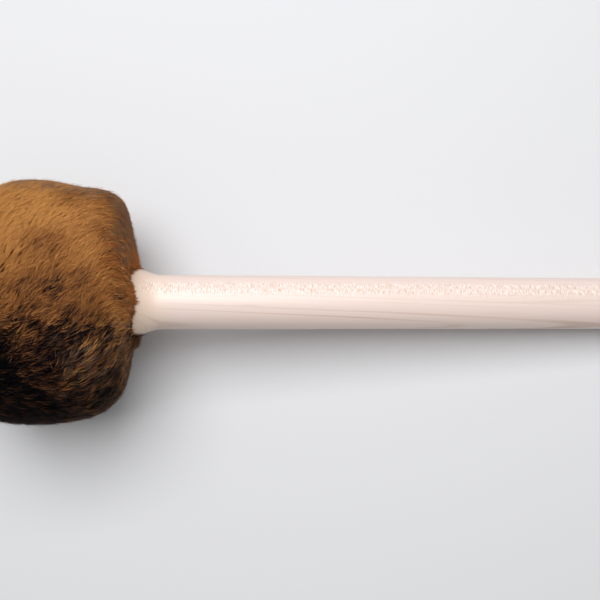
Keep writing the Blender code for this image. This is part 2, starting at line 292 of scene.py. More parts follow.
def placed(tree, group, inputs):
    """A group placed in a material with its own values."""
    return add_node(tree, "Group", inputs, node_tree=group).outputs


# %% Materials
def new_material(name, roughness, metallic=0.0, specular=0.5):
    """A material with a Principled shader, and its node tree."""
    material = bpy.data.materials.new(name)
    material.use_nodes = True
    shader = material.node_tree.nodes["Principled BSDF"]
    shader.inputs["Roughness"].default_value = roughness
    shader.inputs["Metallic"].default_value = metallic
    shader.inputs["Specular IOR Level"].default_value = specular
    print(f"material {name}: roughness {roughness}")
    return material, material.node_tree, shader


def object_place(tree):
    """Object coordinates."""
    return add_node(tree, "TexCoord").outputs["Object"]


def own_chart(tree):
    """The place on the piece's own UV map."""
    return add_node(tree, "UVMap", uv_map="OFBake").outputs[0]


def mallet_place(tree, turn=0.0):
    """Object coordinates in the mallet's own axes: Z along it, -X on top, and turned round Z by turn."""
    rotation = Euler((0, -math.pi / 2 - TILT, turn))
    location = rotation.to_matrix() @ Vector(-HEAD_MIDDLE)
    inputs = {"Vector": object_place(tree), "Location": location, "Rotation": rotation}
    return add_node(tree, "Mapping", inputs).outputs[0]


def dressed(tree, shader, colour, height, depth):
    """Gives the shader its colour, and a height map depth metres deep that tilts the shading."""
    tree.links.new(colour, shader.inputs["Base Color"])
    bump = add_node(tree, "Bump", {"Height": height, "Distance": depth})
    tree.links.new(bump.outputs[0], shader.inputs["Normal"])


# %% [markdown]
# ## Wood grain
# A tree adds a ring a year, and a turned piece cuts through them. Across the rings, here along X, pale wood
# passes slowly into a thin darker line and starts again, and along the trunk, Z, everything is drawn out
# long. The rings lean against the piece by a degree or two, so where a ring leaves the wood its line ends in
# a long pointed arch. Maple and beech also have rays, thin plates that run out from the heart of the tree.
# Where the surface lies in their plane they show as a band of small upright flecks, and a quarter turn on
# they vanish. The surface faces straight away from the axis, so |y| / r says how squarely it faces the rays.
# Here and there a mineral streak runs with the grain for a centimetre or two.

# %% The grain group
SURFACE = {"Color": "Color", "Height": "Float"}
amounts = ("Ring Width", "Ring Start", "Ring Lean", "Ring Strength", "Fleck Strength")
inputs = {"Place": "Vector", **dict.fromkeys(amounts, "Float")}
inputs = {**inputs, "Pale": "Color", "Line": "Color", "Fleck": "Color"}
grain, given, result = new_group("wood_grain", inputs, SURFACE)
place = given["Place"]
wood_axes = axes_of(grain, place)
lean_away = times(grain, wood_axes[2], given["Ring Lean"])
across = sum_of(grain, "SUBTRACT", sum_of(grain, "SUBTRACT", wood_axes[0], lean_away), given["Ring Start"])
squarely = sum_of(grain, "ABSOLUTE", sum_of(grain, "DIVIDE", wood_axes[1], axis_distance(grain, wood_axes)))
nearly, fully = stepped(grain, squarely, 0.92, 0.96, 0, 0.3), stepped(grain, squarely, 0.97, 0.99, 0, 0.7)
quartered = times(grain, sum_of(grain, "ADD", nearly, fully), given["Fleck Strength"])
wander = sum_of(grain, "SUBTRACT", noise(grain, place, (60, 60, 7)), 0.5)
across = sum_of(grain, "ADD", across, times(grain, wander, 0.0016))
ring = sum_of(grain, "DIVIDE", across, given["Ring Width"])
wide_year = sum_of(grain, "SINE", times(grain, ring, math.pi))
turns = sum_of(grain, "ADD", times(grain, ring, 2 * math.pi), times(grain, wide_year, 1.3))
line = sum_of(grain, "POWER", stepped(grain, sum_of(grain, "SINE", turns), -1, 1), 50)
some_years = stepped(grain, noise(grain, place, (300, 60, 4)), 0.35, 0.65)
line = times(grain, times(grain, line, some_years), given["Ring Strength"])
line = times(grain, line, stepped(grain, squarely, 0.75, 0.20, 0.35, 1.4))
fibre = noise(grain, place, (2500, 2500, 45), 4)
streak = stepped(grain, noise(grain, place, (600, 600, 14), 2), 0.6, 0.75)
faint = times(grain, given["Ring Strength"], 0.3)
between = stepped(grain, fibre, 0.3, 0.7, 0.03, 0)
mineral = stepped(grain, noise(grain, place, (1100, 1100, 40), 0), 0.82, 0.88, 0, 0.4)
colour = given["Pale"]
for share in (line, times(grain, streak, faint), between, mineral):
    colour = mixed(grain, share, colour, given["Line"])
plates = noise(grain, place, (480, 2000, 2600), 0)
dark_fleck = times(grain, stepped(grain, plates, 0.61, 0.70), quartered)
pale_fleck = times(grain, stepped(grain, plates, 0.46, 0.36), quartered)
colour = mixed(grain, dark_fleck, colour, given["Fleck"])
colour = mixed(grain, pale_fleck, colour, paint(255, 250, 246))
relief = sum_of(grain, "SUBTRACT", fibre, sum_of(grain, "ADD", line, dark_fleck))
give(result, Color=colour, Height=relief)
print("wood_grain has", len(grain.nodes), "nodes")

# %% [markdown]
# ## Maple
# The handle is sanded maple with a thin satin finish. Its rings lie so that a band of flecks runs along it
# 32 degrees round from the top, and the flat grain, a quarter turn on, shows as long lines low on the other
# side, which end in three pointed arches. The flare cuts across the fibres, so it has no flecks and fainter
# ring lines, and a warmer tone: partly its end grain, partly painted warm light bounced off the fur.

# %% Maple
FLAT_GRAIN_AT = math.radians(-58)
ring_turn = -math.atan2(math.sin(FLAT_GRAIN_AT), -math.cos(FLAT_GRAIN_AT))
maple, tree, shader = new_material("maple", 0.45, specular=0.75)
turned_place = mallet_place(tree, ring_turn)
along_it = axes_of(tree, turned_place)[2]
# Warmer towards the flare: partly the end grain's tone, partly painted warm light bounced off the fur.
end_grain_and_fur_bounce = stepped(tree, along_it, 0.036, 0.062)
wood = placed(
    tree,
    grain,
    {
        "Place": turned_place,
        "Ring Width": 0.002565,
        "Ring Start": 0.002147,
        "Ring Lean": 0.026,
        "Ring Strength": stepped(tree, along_it, 0.044, 0.062, 0.12, 0.42),
        "Fleck Strength": stepped(tree, along_it, 0.040, 0.050, 0, 0.6),
        "Pale": mixed(tree, end_grain_and_fur_bounce, paint(233, 208, 185), paint(233, 213, 204)),
        "Line": paint(172, 128, 94),
        "Fleck": paint(210, 164, 120),
    },
)
dressed(tree, shader, wood["Color"], wood["Height"], 0.000006)

# %% [markdown]
# ## The handle
# The handle is one turned piece: a straight shaft, a flare that carries the head's weight into the wood, a
# collar, and a tenon glued into the core. The CAD solid has few sides, and a round shaft in soft light shows
# every one of them, so a finer turning on the same outline takes its place.

# %% Handle
CLEARANCE = 0.0003
SHAFT_RADIUS = 0.0125
COLLAR_RADIUS = 0.020
TENON_RADIUS = 0.009
FLARE_ANGLE = math.radians(20)
FLARE_START = 0.049755551
FLARE_END = 0.029149470
BUTT = 0.337161605
CORE_FACE = 0.022
SCREW_RADIUS, SCREW_TIP = 0.002, 0.0089
TENON_END = -0.0082
TENON_ROUNDING, FLARE_ROUNDING, BUTT_ROUNDING = 0.0015, 0.015, 0.005

handle_outline = rounded(
    [
        (SCREW_TIP, 0, 0),
        (SCREW_TIP, SCREW_RADIUS + CLEARANCE, 0),
        (TENON_END, SCREW_RADIUS + CLEARANCE, 0),
        (TENON_END, TENON_RADIUS, TENON_ROUNDING),
        (CORE_FACE + CLEARANCE, TENON_RADIUS, 0),
        (CORE_FACE + CLEARANCE, COLLAR_RADIUS, 0),
        (FLARE_END, COLLAR_RADIUS, FLARE_ROUNDING),
        (FLARE_START, SHAFT_RADIUS, FLARE_ROUNDING),
        (BUTT, SHAFT_RADIUS, BUTT_ROUNDING),
        (BUTT, 0, 0),
    ],
    steps=8,
)
new_piece("turned_handle", *turned(handle_outline, 128), maple, "maple", "handle", sharp=30)


# %% [markdown]
# ## The head's outline
# From the side the head is three arcs that run into each other: a wide crown, a tight shoulder and a nearly
# flat end, and the front mirrors the back. The lean is the angle by which the surface faces away from
# straight out, from -90 degrees at the front to +90 at the back. With it any place on the head, at any depth
# below the tips of the fur, is one short formula, because a parallel outline only shortens the arcs' radii.
# Fur over soft padding isn't quite round, so hollows and swellings change that depth by up to a few
# millimetres.

# %% Head outline
CROWN_RADIUS, CROWN_MIDDLE = 0.095, -0.0405
SHOULDER_RADIUS, SHOULDER_Z, SHOULDER_R = 0.020, 0.017759995, 0.032366883
END_RADIUS, END_MIDDLE = 0.100, -0.0554
CROWN_STOP, SHOULDER_STOP = 0.239070781, 1.154270214
SIDE_FULLNESS = 0.0012


def head_outline(lean, depth):
    """(z, r) at a lean: the middle of the arc there, plus (radius - depth) in the leaning direction."""
    bend = np.abs(lean)
    on_crown, on_end = bend <= CROWN_STOP, bend > SHOULDER_STOP
    middle_z = np.where(on_crown, 0, np.where(on_end, END_MIDDLE, SHOULDER_Z))
    middle_r = np.where(on_crown, CROWN_MIDDLE, np.where(on_end, 0, SHOULDER_R))
    reach = np.where(on_crown, CROWN_RADIUS, np.where(on_end, END_RADIUS, SHOULDER_RADIUS)) - depth
    return np.sign(lean) * (middle_z + reach * np.sin(bend)), middle_r + reach * np.cos(bend)


def lean_at(z, r):
    """The lean of the place on the head that lies nearest to (z, r): the angle seen from its arc's middle."""
    far = np.abs(z)
    crown = np.arctan2(far, r - CROWN_MIDDLE)
    shoulder = np.arctan2(far - SHOULDER_Z, r - SHOULDER_R)
    end = np.arctan2(far - END_MIDDLE, r)
    bend = np.where(crown <= CROWN_STOP, crown, np.where(shoulder <= SHOULDER_STOP, shoulder, end))
    return np.copysign(bend, z)


def side_fullness(lean, phi):
    """How much fuller than round the back of the head is at the +Y side, and slacker at the other."""
    return SIDE_FULLNESS * np.where(lean > 0, np.sin(2 * lean) ** 2, 0) * np.sin(phi)


widest = head_outline(np.array(0.0), 0)[1]
print("head is", round(2000 * float(widest), 1), "mm across")


# %% Hollows and swellings
def smooth_step(value, low, high):
    """0 below low, 1 above high, and 3 t^2 - 2 t^3 in between."""
    t = np.clip((value - low) / (high - low), 0, 1)
    return t * t * (3 - 2 * t)


def hump(value, middle, width):
    """A smooth hump: 1 at the middle, and exp(-(distance from it / width)^2) to both sides."""
    return np.exp(-(((value - middle) / width) ** 2))


def bell(phi, middle, width):
    """A hump round the mallet, with the turn from its middle taken the short way round."""
    return hump((phi - middle + math.pi) % (2 * math.pi) - math.pi, 0, width)


PLEAT_AT = math.radians(40)


def hollow(z, phi):
    """How much deeper than the plain outline the fur lies.

    The +Y side is slack towards the front and has a shallow dent behind its middle and a full shoulder. The
    other side is a little fuller, and drawn in at the back. A pleat at the neck leaves a hollow in the hem,
    and a lobe of fur stands out beside the wood at the -Y side.
    """
    side, other = np.clip(np.sin(phi), 0, 1) ** 2, np.clip(-np.sin(phi), 0, 1)
    slack = 0.0022 * smooth_step(-z, 0.009, 0.022) * (1 - smooth_step(-z, 0.030, 0.042))
    dent = 0.0013 * hump(z, 0.016, 0.009)
    shoulder = -0.0013 * hump(z, 0.034, 0.004)
    fuller = -0.0004 * other * (1 - smooth_step(np.abs(z), 0.026, 0.036))
    drawn_in = (0.0012 + 0.0026 * other) * smooth_step(z, 0.034, 0.042)
    pleat = 0.0024 * bell(phi, PLEAT_AT, 0.26) * smooth_step(z, 0.0406, 0.0428)
    lobe = -0.0016 * bell(phi, -1.5, 0.22) * smooth_step(z, 0.0418, 0.0427)
    return side * (slack + dent + shoulder) + fuller + drawn_in + pleat + lobe


def surface_point(lean, phi, depth):
    """The place in the scene at a lean, a turn phi and a depth below the tips, hollows included."""
    z, _ = head_outline(lean, 0)
    z, r = head_outline(lean, depth + hollow(z, phi))
    return on_mallet(z, r + side_fullness(lean, phi) * (r > 0), phi)


# %% [markdown]
# ## Felt, fleece and hide
# Felt, fleece and the flesh side of a hide are all a tangle of fibres. One group makes the tangle: distorted
# noise at a fibre's size and plain noise a few millimetres broad mottle the colour, and the fine one gives
# the surface its nap.

# %% The fibre group
inputs = {"Place": "Vector", "Fibre Size": "Float", "Pale": "Color", "Dark": "Color"}
tangle, given, result = new_group("tangled_fibres", inputs, SURFACE)
fineness = sum_of(tangle, "DIVIDE", 1.0, given["Fibre Size"])
inputs = {"Vector": given["Place"], "Scale": fineness, "Detail": 5.0, "Distortion": 1.5}
loose = add_node(tangle, "TexNoise", inputs).outputs["Fac"]
broad = noise(tangle, given["Place"], (220, 220, 220), 3)
fine_mottle, broad_mottle = stepped(tangle, loose, 0.3, 0.7, 0, 0.6), stepped(tangle, broad, 0.3, 0.7, 0, 0.4)
mottle = sum_of(tangle, "ADD", fine_mottle, broad_mottle)
give(result, Color=mixed(tangle, mottle, given["Dark"], given["Pale"]), Height=loose)


def fibres_in(tree, fibre_size, pale, dark):
    """The tangle placed in a material."""
    inputs = {"Place": object_place(tree), "Fibre Size": fibre_size}
    return placed(tree, tangle, inputs | {"Pale": paint(*pale), "Dark": paint(*dark)})


def fibrous(name, fibre_size, pale, dark, depth):
    """A soft, dull material of tangled fibres."""
    material, tree, shader = new_material(name, 0.95, specular=0.2)
    fibres = fibres_in(tree, fibre_size, pale, dark)
    dressed(tree, shader, fibres["Color"], fibres["Height"], depth)
    return material


grey_felt = fibrous("grey_felt", 0.0006, (132, 129, 125), (92, 90, 88), 0.0002)
pad_felt = fibrous("pad_felt", 0.0007, (212, 204, 188), (168, 160, 144), 0.0002)
fleece = fibrous("fleece", 0.0012, (232, 226, 208), (196, 188, 168), 0.0005)

# %% [markdown]
# ## The wound felt
# Felt comes as a long strip. Rolled round the core four times, its outer end shaved thin so that no step
# shows through the fur, it makes the firm part of the padding. Its radius grows by a little more than a
# thickness in each turn, and one grid carries its section, a long thin rectangle, round the axis.

# %% Felt wrap
FELT_START, FELT_PITCH, FELT_THICKNESS, FELT_THIN_END = 0.0303, 0.0025, 0.0022, 0.0003
FELT_TURNS, FELT_STEPS = 4, 64


def capped_strip(sections):
    """Points and quads of a closed strip through sections (n, 4, 3), with a flat end at each."""
    index = np.arange(len(sections) * 4).reshape(-1, 4)
    return sections.reshape(-1, 3), np.vstack((side_quads(index), index[:1, ::-1], index[-1:]))


turn = np.arange(FELT_TURNS * FELT_STEPS + 1) / FELT_STEPS
inner = FELT_START + FELT_PITCH * turn
shaved = np.clip(turn - (FELT_TURNS - 1), 0, 1)
outer = inner + FELT_THICKNESS + (FELT_THIN_END - FELT_THICKNESS) * shaved
radii = np.stack((inner, outer, outer, inner), axis=1)
ends = np.array((-CORE_FACE, -CORE_FACE, CORE_FACE, CORE_FACE))
strip = on_mallet(ends, radii, -math.pi / 2 - 2 * math.pi * turn[:, None])
new_piece("felt_strip", *capped_strip(strip), grey_felt, "felt", "felt_wrap", sharp=40)

# %% [markdown]
# ## Pads and fleece
# A felt ring lies over each end of the core, the front one round the washer and the back one round the
# collar of the handle. A cup of fleece rounds the whole off: its outside follows the head's outline a
# cover's thickness further in, and gentle random swellings keep it from looking moulded.

# %% Pads
PAD_RADIUS, PAD_ROUNDING, WASHER_RADIUS = 0.030, 0.0015, 0.012
FRONT_PAD_FACE, REAR_PAD_FACE = -0.0293, 0.0283


def pad(name, hole, near, far, node):
    """A flat felt ring from near to far along the axis, its outer edges worn round."""
    rim = [(near, PAD_RADIUS, PAD_ROUNDING), (far, PAD_RADIUS, PAD_ROUNDING)]
    outline = rounded([(near, hole, 0), *rim, (far, hole, 0), (near, hole, 0)])
    made = new_piece(name, *turned(outline, 96), pad_felt, "felt", node, sharp=40)
    return made


pad("front_felt_ring", WASHER_RADIUS + CLEARANCE, -CORE_FACE - CLEARANCE, FRONT_PAD_FACE, "front_pad")
pad("rear_felt_ring", COLLAR_RADIUS + CLEARANCE, CORE_FACE + CLEARANCE, REAR_PAD_FACE, "rear_pad")


# %% Fleece
def waves(wavelength, seed, count=24):
    """Plane waves of about a wavelength: a direction and a phase for each."""
    random = np.random.default_rng(seed)
    way = random.normal(size=(count, 3))
    turn_rate = 2 * math.pi / wavelength * random.uniform(0.7, 1.3, (count, 1))
    way *= turn_rate / np.linalg.norm(way, axis=1)[:, None]
    return way, random.uniform(0, 2 * math.pi, count)


def ripple(points, wavelength, seed):
    """A smooth random field with mean 0 and spread 1: the sum of the waves' sines."""
    way, phase = waves(wavelength, seed)
    return np.sin(points @ way.T + phase).sum(axis=-1) / math.sqrt(12)


FLEECE_DEPTH, FLEECE_BORE, POCKET_RADIUS = 0.0057, 0.0222, 0.0428
PAD_POCKET = PAD_RADIUS + CLEARANCE
phi = steps_round(96)
lean = np.linspace(-math.pi / 2, math.acos(FLEECE_BORE / (END_RADIUS - FLEECE_DEPTH)), 90)[:, None]
swelling = 0.0003 * np.clip(ripple(surface_point(lean, phi, 0.0), 0.02, 5), -1, 1) * (lean > -1.5)
outside = surface_point(lean, phi, FLEECE_DEPTH + swelling)
outside[0] = outside[0].mean(axis=0)
pocket = np.array(
    [
        (REAR_PAD_FACE + CLEARANCE, FLEECE_BORE),
        (REAR_PAD_FACE + CLEARANCE, PAD_POCKET),
        (CORE_FACE + CLEARANCE, PAD_POCKET),
        (CORE_FACE + CLEARANCE, POCKET_RADIUS),
        (-CORE_FACE - CLEARANCE, POCKET_RADIUS),
        (-CORE_FACE - CLEARANCE, PAD_POCKET),
        (FRONT_PAD_FACE - CLEARANCE, PAD_POCKET),
        (FRONT_PAD_FACE - CLEARANCE, 0),
    ]
)
inside = on_mallet(pocket[:, :1], pocket[:, 1:], phi)
shape = around(np.vstack((outside, inside)))
new_piece("fleece_cup", *shape, fleece, "fleece", "wadding", sharp=40)

# %% [markdown]
# ## Twine
# Waxed twine holds the felt shut, and a cord draws the cover in behind the head. Both are wound, so each is
# a tube along a helix. The twist of the strands is a slanting wave on the tube's own UV map, with u along
# the cord and v round it, so that it follows every turn.

# %% The twist group
inputs = {"Chart": "Vector", "Twists": "Float", "Pale": "Color", "Dark": "Color"}
twist, given, result = new_group("twisted_strands", inputs, SURFACE)
chart_axes = axes_of(twist, given["Chart"])
round_it = times(twist, chart_axes[1], 2.0)
slant = sum_of(twist, "ADD", times(twist, chart_axes[0], given["Twists"]), round_it)
strand = stepped(twist, sum_of(twist, "PINGPONG", slant, 0.5), 0.0, 0.25)
give(result, Color=mixed(twist, strand, given["Dark"], given["Pale"]), Height=strand)


def cord_material(name, twists, pale, dark):
    """Twisted cotton: the twist follows the cord's own UV map."""
    material, tree, shader = new_material(name, 0.85, specular=0.25)
    inputs = {"Chart": own_chart(tree), "Twists": twists, "Pale": paint(*pale), "Dark": paint(*dark)}
    strands = placed(tree, twist, inputs)
    dressed(tree, shader, strands["Color"], strands["Height"], 0.0002)
    return material


# %% Wound cords
def wound_cord(name, spine, out, radius, material, node, sides=10):
    """A tube round spine (n, 3), closed flat at both ends.

    Each ring lies square to the spine, between out (n, 3) and the direction along x out.
    """
    along = np.gradient(spine, axis=0)
    along /= np.linalg.norm(along, axis=1)[:, None]
    across = np.cross(along, out)
    across /= np.linalg.norm(across, axis=1)[:, None]
    up = np.cross(across, along)
    angle = steps_round(sides)
    arm = np.cos(angle)[:, None] * up[:, None] + np.sin(angle)[:, None] * across[:, None]
    rings = spine[:, None] + radius * arm
    count = len(spine)
    index = np.arange(count * sides).reshape(count, sides)
    points = np.vstack((rings.reshape(-1, 3), spine[:1], spine[-1:]))
    start, end = np.full(sides, count * sides), np.full(sides, count * sides + 1)
    first = np.stack((index[0], start, start, np.roll(index[0], -1)), axis=1)
    last = np.stack((index[-1], np.roll(index[-1], -1), end, end), axis=1)
    u = np.repeat(np.arange(count - 1) / (count - 1), sides)
    v = np.tile(np.arange(sides) / sides, count - 1)
    far_u, far_v = u + 1 / (count - 1), v + 1 / sides
    chart = np.stack((u, v, u, far_v, far_u, far_v, far_u, v), axis=1).reshape(-1, 4, 2)
    v = np.arange(sides) / sides
    near = 0 * v + 0.01
    lid = np.stack((0 * v, v, near, v, near, v, 0 * v, v + 1 / sides), axis=1).reshape(-1, 4, 2)
    quads = np.vstack((side_quads(index), first, last))
    return new_piece(name, points, quads, material, "twine", node, chart=np.vstack((chart, lid, 1 - lid)))


def helix(turns, pitch, first_z, radius_at, steps=48):
    """A cord's middle line, whose z grows by a pitch in each turn of phi, and the way out from the axis."""
    turn = np.arange(turns * steps + 1) / steps
    z = first_z + pitch * turn
    phi = -math.pi / 2 - 2 * math.pi * turn
    return on_mallet(z, radius_at(z), phi), on_mallet(0, np.ones(len(z)), phi) - HEAD_MIDDLE


def wood_radius(z):
    """The handle's own radius along the flare: a cone of FLARE_ANGLE between the shaft and the collar."""
    wider = (FLARE_START - z) * math.tan(FLARE_ANGLE)
    return SHAFT_RADIUS + np.clip(wider, 0, COLLAR_RADIUS - SHAFT_RADIUS)


TWINE_RADIUS = 0.0008
BINDING_TURNS, BINDING_PITCH, BINDING_START, BINDING_RADIUS = 8, 0.0042, -0.0168, 0.0417
NECK_TURNS, NECK_PITCH, NECK_START, NECK_HEIGHT = 2, 0.0022, 0.0297, 0.00117060
twine = cord_material("twine", 700, (196, 172, 128), (120, 98, 66))
neck_twine = cord_material("hem_cord", 80, (96, 74, 54), (44, 32, 24))
binding = helix(BINDING_TURNS, BINDING_PITCH, BINDING_START, lambda z: BINDING_RADIUS)
wound_cord("binding", *binding, TWINE_RADIUS, twine, "binding_twine")
neck_line = helix(NECK_TURNS, NECK_PITCH, NECK_START, lambda z: wood_radius(z) + NECK_HEIGHT)
wound_cord("drawn_cord", *neck_line, TWINE_RADIUS, neck_twine, "neck_cord")

# %% [markdown]
# ## Beech and steel
# The core is plain turned beech and takes the same grain group with its own colours. The weight, the washer
# and the screw are steel off a lathe: fine rings round the axis catch the light. They are noise in r and z,
# so they run round on a flat face and on a rim alike. These four CAD solids keep their shape and only get a
# finish.

# %% Beech
beech, tree, shader = new_material("beech", 0.55)
core_wood = placed(
    tree,
    grain,
    {
        "Place": mallet_place(tree),
        "Ring Width": 0.003,
        "Ring Start": 0.0,
        "Ring Lean": 0.01,
        "Ring Strength": 0.6,
        "Fleck Strength": 0.35,
        "Pale": paint(206, 166, 128),
        "Line": paint(150, 106, 72),
        "Fleck": paint(160, 116, 82),
    },
)
dressed(tree, shader, core_wood["Color"], core_wood["Height"], 0.00005)

# %% Steel
inputs = {"Place": "Vector", "Low": "Float", "High": "Float"}
lathe_marks, given, result = new_group("lathe_marks", inputs, {"Roughness": "Float", "Height": "Float"})
axes = axes_of(lathe_marks, given["Place"])
inputs = {0: axis_distance(lathe_marks, axes), 1: axes[2]}
groove = add_node(lathe_marks, "CombineXYZ", inputs).outputs[0]
marks = noise(lathe_marks, groove, (6000, 6000, 1), 2)
dull = noise(lathe_marks, given["Place"], (180, 180, 180), 3)
inputs = {"Value": dull, "From Min": 0.3, "From Max": 0.7, "To Min": given["Low"], "To Max": given["High"]}
rough = add_node(lathe_marks, "MapRange", inputs).outputs[0]
give(result, Roughness=rough, Height=marks)


def steel(name, colour, low, high):
    """Bare steel with lathe marks, its roughness between low and high."""
    material, tree, shader = new_material(name, low, metallic=1.0)
    place = mallet_place(tree)
    marks = placed(tree, lathe_marks, {"Place": place, "Low": low, "High": high})
    tarnish = stepped(tree, noise(tree, place, (120, 120, 120), 4), 0.45, 0.75, 0, 0.5)
    worn = tuple(channel * 0.55 for channel in paint(*colour)[:3]) + (1.0,)
    tree.links.new(marks["Roughness"], shader.inputs["Roughness"])
    dressed(tree, shader, mixed(tree, tarnish, paint(*colour), worn), marks["Height"], 0.00001)
    return material


weight_steel = steel("weight_steel", (172, 172, 174), 0.35, 0.5)
zinc = steel("zinc", (206, 208, 212), 0.28, 0.42)
finishes = {"core": beech, "weight_disc": weight_steel, "end_washer": zinc, "end_screw": zinc}
for node, material in finishes.items():
    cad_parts[node].data.materials.clear()
    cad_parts[node].data.materials.append(material)

# %% [markdown]
# ## The pelt's tone
# The fur isn't one brown. It goes from golden tan on the side that faces +Y, over rust brown on top, to
# nearly black on the other side, where the back of the head is lighter than the front. That is partly the
# pelt's own colour and partly painted shade on the side away from the lamp. Near the handle the tan turns
# to rust, and behind the shoulder, which faces away from the lamp, to grey-brown: painted shade. The tips
# along the +Y edge are painted darker, a painted shade, and along the other edge lighter, a painted
# reflection of the floor. A number from 0 to 1 holds the tone. A pelt also has marks of its own, soft ovals
# of a few millimetres that are darker or lighter than the fur around them, though a few of them are painted
# shade or a painted sheen. A mark says where its locks are rooted, and it shows some two thirds of a lock
# further along the nap.


# %% Tone
MARKS = [
    ("brown patch over the dent", 11.5, 54, 6, 9, -0.20),
    ("brown streaks over the middle", 9.0, 23, 9, 8, -0.30),
    ("brown shade above the neck", 25.5, 33, 5, 5, -0.15),
    # Painted shade: this band behind the shoulder faces away from the lamp.
    ("grey-brown band at the shoulder", 24.5, 67, 4, 9, -0.16),
    ("spot towards the neck", 15.5, 5.5, 7, 6, -0.18),
    ("tan by the neck", 31.0, -11, 6, 6, 0.26),
    ("lighter streak towards the front", 2.5, -3, 8, 4, 0.30),
    ("brown front", 0.0, -11, 6, 4, -0.12),
    ("lighter streak further back", 9.5, -13, 7, 4, 0.12),
    # A painted sheen: lighter brown where the dark fur catches the light.
    ("brown sheen at the front", 0.0, -26, 8, 6, 0.10),
    ("brown line at the neck", 33.0, 4, 4, 4, -0.32),
    ("short dark line beside the handle", 38.0, -4, 3, 4, -0.40),
    ("pale lock", 6.0, -9, 8, 2.5, 0.22),
    # Painted shade in a hollow under the pale lock.
    ("dark hollow under the pale lock", 15.5, -20, 7, 6, -0.42),
    ("dark streaks low at the back", 26.0, -20, 5, 6, -0.34),
    # Painted shade in the gap between locks above the golden lock.
    ("dark gap above the golden lock", 15.0, -29, 7, 4, -0.36),
    ("golden lock", 23.5, -31, 5.5, 4, 0.42),
    ("end of the golden lock", 13.5, -38, 6, 3, 0.18),
    ("black streaks at the shoulder", 28.5, -48, 4, 5, -0.50),
    ("black streaks low down", 18.0, -49, 6, 5, -0.22),
    # Painted shade under the lower tuft behind the neck, beside the wood.
    ("dark end behind the neck", 38.5, -60, 2.0, 18, -0.70),
    ("brown band over the top", 5.0, 4, 9, 6, -0.22),
    ("brown edge above the handle", 37.0, 31, 2.5, 8, -0.16),
    ("brown line along the dent", 13.0, 63, 6, 5, -0.18),
    ("rust beside the shoulder", 32.5, 24, 5, 11, -0.20),
    ("lighter rim of the shoulder", 30.5, 80, 3.5, 10, 0.16),
]


def pelt_marks(z, phi):
    """The sum over the marks of amount * exp(-(dz / long)^2 - (dphi / wide)^2), in mm and degrees."""
    return sum(
        amount * np.exp(-(((1000 * z - at) / long) ** 2) - ((np.degrees(phi) - turn) / wide) ** 2)
        for _, at, turn, long, wide, amount in MARKS
    )


def pelt_tone_and_shade(points):
    """Tone by place: light at +Y, dark at the other side, partly painted shade, lighter low at back, soft
    patches.
    """
    z, r, phi = off_mallet(points)
    # side runs towards +Y, the lamp's side; the tone follows it, partly the pelt's own colour, partly painted
    # shade.
    side = np.clip(r / 0.045, 0, 1) * np.sin(phi)
    patches = 0.06 * ripple(points, 0.022, 21) + 0.04 * ripple(points, 0.009, 22)
    tone = 0.8 * smooth_step(side + patches, -0.45, 0.18) + 0.2 * smooth_step(side, 0.0, 0.6)
    low = smooth_step(-side, 0.1, 0.45) * (1 - smooth_step(-side, 0.55, 1.0))
    low_back = low * smooth_step(z, -0.004, 0.030)
    middle_back = hump(side, -0.15, 0.3) * smooth_step(z, 0.020, 0.032)
    # Darker towards the back on the +Y side, where the head turns away from the lamp: painted shade.
    painted_shade_upper_back = smooth_step(side, 0.3, 0.8) * smooth_step(z, 0.006, 0.034)
    # Tips along the dark side's edge are lightened, a painted reflection of the floor, and tips along the tan
    # edge darkened, a painted shade.
    painted_floor_bounce_rim, painted_shade_tan_rim = smooth_step(-side, 0.90, 1.0), smooth_step(side, 0.88, 1.0) * (z < 0.03)
    tone = tone + 0.36 * low_back + 0.30 * middle_back - 0.22 * painted_shade_upper_back
    tone = tone + 0.09 * painted_floor_bounce_rim - 0.08 * painted_shade_tan_rim - 0.05 * smooth_step(z, 0.008, 0.030)
    return np.clip(tone + pelt_marks(z, phi), 0, 1)


# %% [markdown]
# ## The skin under the fur
# Fur grows on a hide: a thin shell a little below the tips, closed at the front and open at the back, where
# the handle comes out. It stops any light between the locks, and it keeps clear of the ground, so the flat
# on which the mallet rests is pressed fur alone.

# %% Hide
SKIN_DEPTH, SKIN_THICKNESS = 0.0040, 0.0008
HEM_GAP = 0.0003


def skin_depth(lean):
    """How deep the skin lies below the tips: less near the handle, where the fur is short."""
    return SKIN_DEPTH - 0.0012 * smooth_step(lean, 1.1, 1.3)


def hem_lean(depth, phi):
    """The lean at which the back, a depth below the skin, meets the wood, by halving an interval."""
    low, high = np.full(phi.shape, SHOULDER_STOP), np.full(phi.shape, math.pi / 2)
    for _ in range(40):
        middle = (low + high) / 2
        z, r, _ = off_mallet(surface_point(middle, phi, skin_depth(middle) + depth))
        clear = r > wood_radius(z) + HEM_GAP
        low, high = np.where(clear, middle, low), np.where(clear, high, middle)
    return low


phi = steps_round(128)
share = np.linspace(0, 1, 120)[:, None]
shells = []
for depth in (0.0, SKIN_THICKNESS):
    lean = -math.pi / 2 + share * (hem_lean(depth, phi) + math.pi / 2)
    shell = surface_point(lean, phi, skin_depth(lean) + depth)
    shell[0] = shell[0].mean(axis=0)
    shells.append(shell)
hem_z = off_mallet(shells[0][-1])[0]
print(f"the hide's hem meets the wood at z = {1000 * hem_z.min():.1f} to {1000 * hem_z.max():.1f} mm")

# %% The hide's finish
hide, tree, shader = new_material("hide", 0.9, specular=0.2)
fibres = fibres_in(tree, 0.0006, (44, 30, 23), (16, 12, 12))
tone = add_node(tree, "Attribute", attribute_name="tone").outputs["Fac"]
